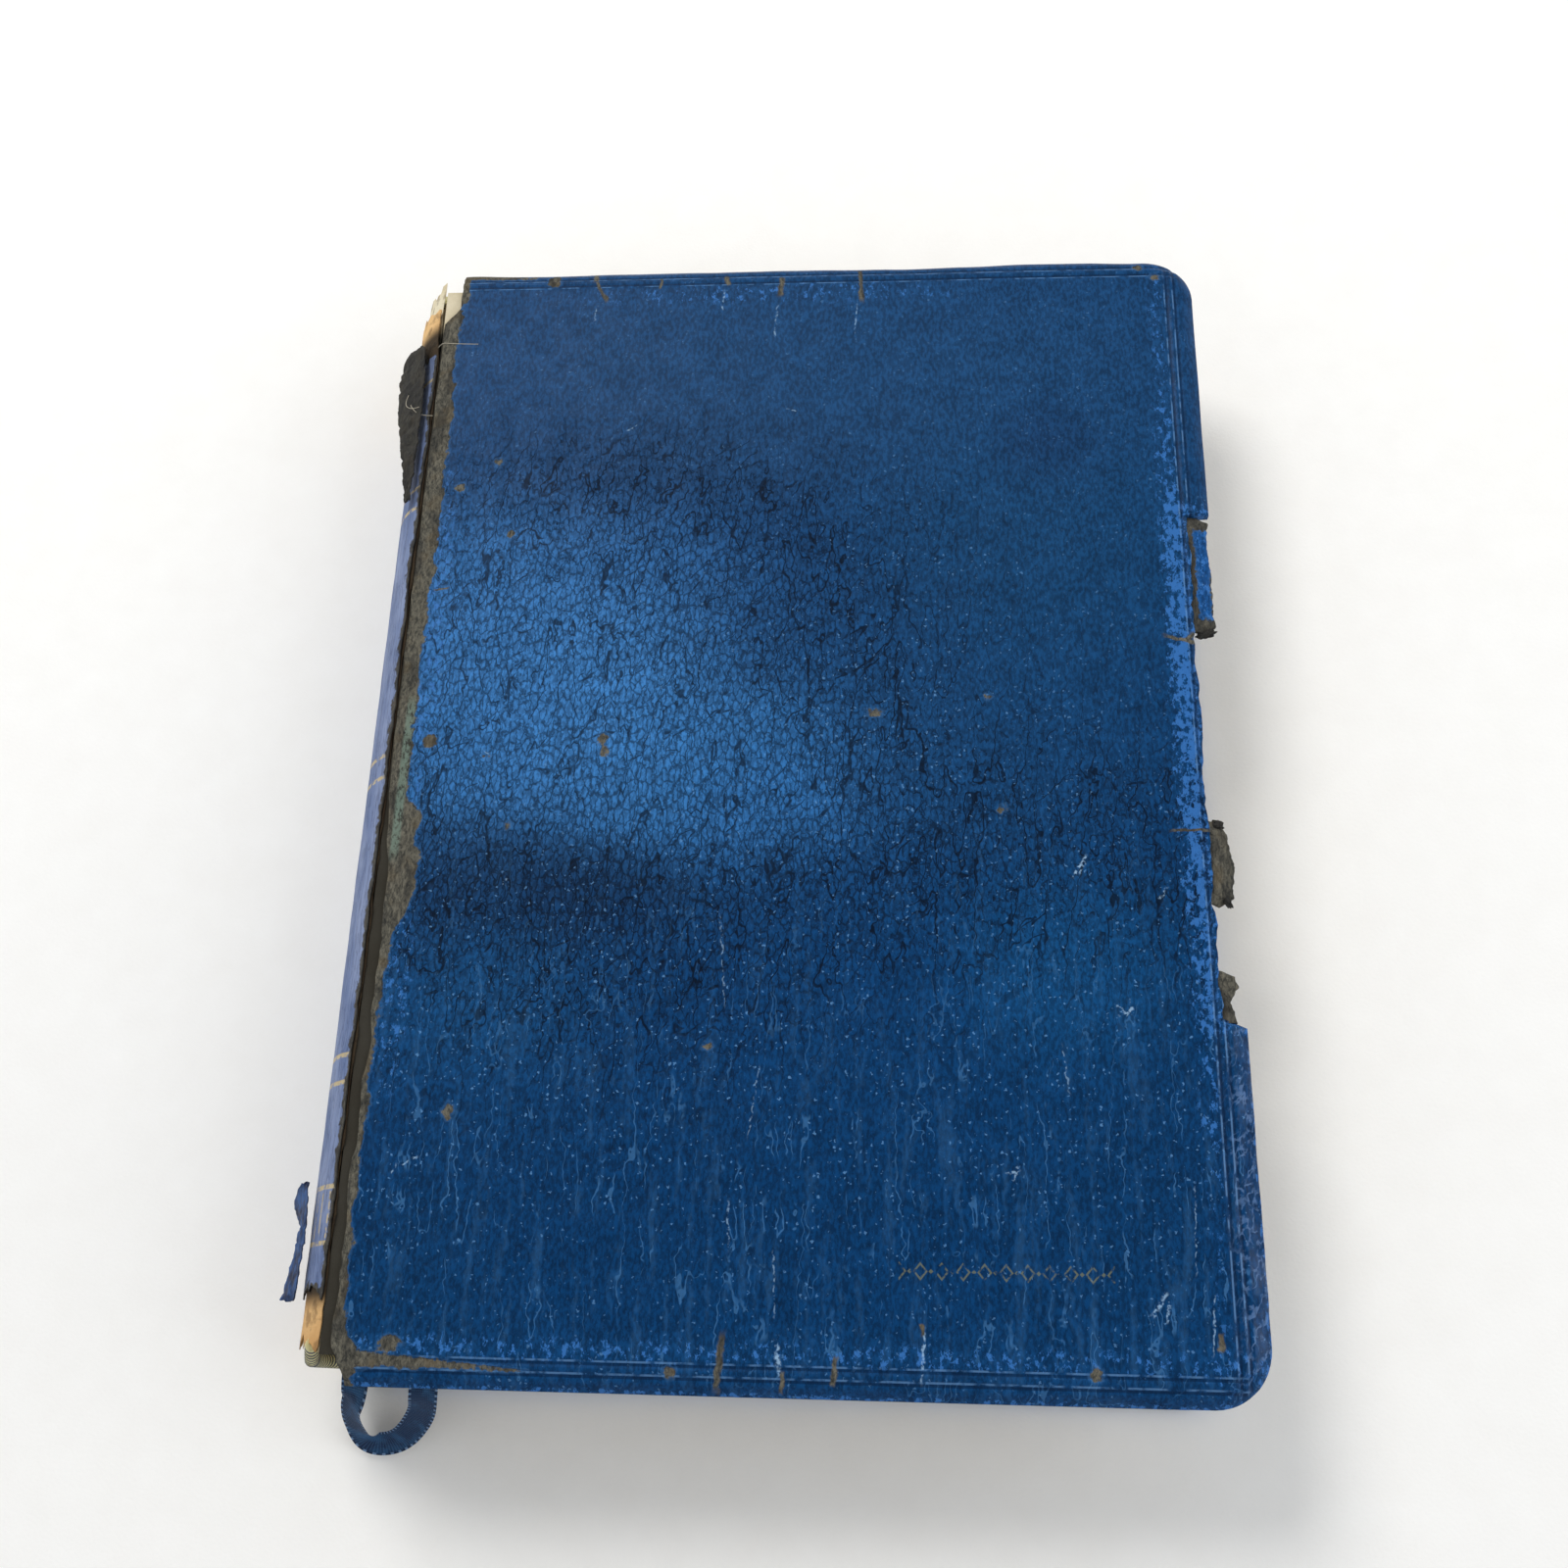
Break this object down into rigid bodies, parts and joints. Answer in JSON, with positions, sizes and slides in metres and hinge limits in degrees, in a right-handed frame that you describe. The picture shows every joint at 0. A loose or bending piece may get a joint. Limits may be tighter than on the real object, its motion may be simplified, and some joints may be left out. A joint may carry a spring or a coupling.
{
  "type": "limp leather-bound book",
  "caption": "Limp leather-bound blank book with sewn sections, rounded spine, two hinged covers and a ribbon marker.",
  "frame": {"origin": "centre of the closed book's footprint, on the surface that it lies on", "axes": "+X from spine to fore-edge, +Y from tail to head, +Z from back cover to front cover"},
  "size_m": [0.1592, 0.2254, 0.03],
  "materials": {
    "cover_leather": "smooth dyed leather, worn",
    "spine_leather": "faded dyed leather",
    "worn_leather": "suede fibre where the finish is gone",
    "card": "matte",
    "endpaper": "matte",
    "page_paper": "matte",
    "kraft_paper": "matte",
    "mull": "open weave",
    "tape": "plain weave",
    "thread": "twisted",
    "band": "striped",
    "ribbon": "satin"
  },
  "bodies": {
    "rear_half": {"section_09": "page_paper", "section_10": "page_paper", "section_11": "page_paper", "section_12": "page_paper", "section_13": "page_paper", "section_14": "page_paper", "section_15": "page_paper", "section_16": "page_paper", "back_flyleaf": "endpaper", "rear_stitches": "thread", "sewing_tapes": "tape", "mull": "mull", "spine_lining_paper": "card", "spine_liner_card": "kraft_paper", "spine_leather": "spine_leather", "head_band": "band", "tail_band": "band", "ribbon_marker": "ribbon", "ribbon_end": "ribbon", "ribbon_loop": "ribbon"},
    "front_half": {"section_01": "page_paper", "section_02": "page_paper", "section_03": "page_paper", "section_04": "page_paper", "section_05": "page_paper", "section_06": "page_paper", "section_07": "page_paper", "section_08": "page_paper", "front_flyleaf": "endpaper", "front_stitches": "thread", "spine_head_flap": "worn_leather", "spine_tail_flap": "spine_leather"},
    "front_cover": {"front_cover_leather": "cover_leather", "front_cover_card": "card", "front_turn_in_head": "cover_leather", "front_turn_in_tail": "cover_leather", "front_turn_in_fore_edge": "cover_leather", "front_pastedown": "endpaper", "upper_edge_flap": "cover_leather", "edge_tongue": "worn_leather", "lower_edge_patch": "worn_leather"},
    "back_cover": {"back_cover_leather": "cover_leather", "back_cover_card": "card", "back_turn_in_head": "cover_leather", "back_turn_in_tail": "cover_leather", "back_turn_in_fore_edge": "cover_leather", "back_pastedown": "endpaper"}
  },
  "joints": [
    {"name": "front_cover_hinge", "type": "hinge", "parent": "front_half", "child": "front_cover", "pos_m": [-0.0714, 0, 0.03022], "axis": [0, -1, 0], "range_deg": [0, 180]},
    {"name": "ribbon_opening", "type": "hinge", "parent": "rear_half", "child": "front_half", "pos_m": [-0.07965, 0, 0.01501], "axis": [0, -1, 0], "range_deg": [0, 180], "deforming": ["sewing_tapes", "mull", "spine_lining_paper", "spine_liner_card", "spine_leather", "head_band", "tail_band"]},
    {"name": "back_cover_hinge", "type": "hinge", "parent": "rear_half", "child": "back_cover", "pos_m": [-0.0714, 0, -0.0016], "axis": [0, 1, 0], "range_deg": [0, 180]}
  ]
}
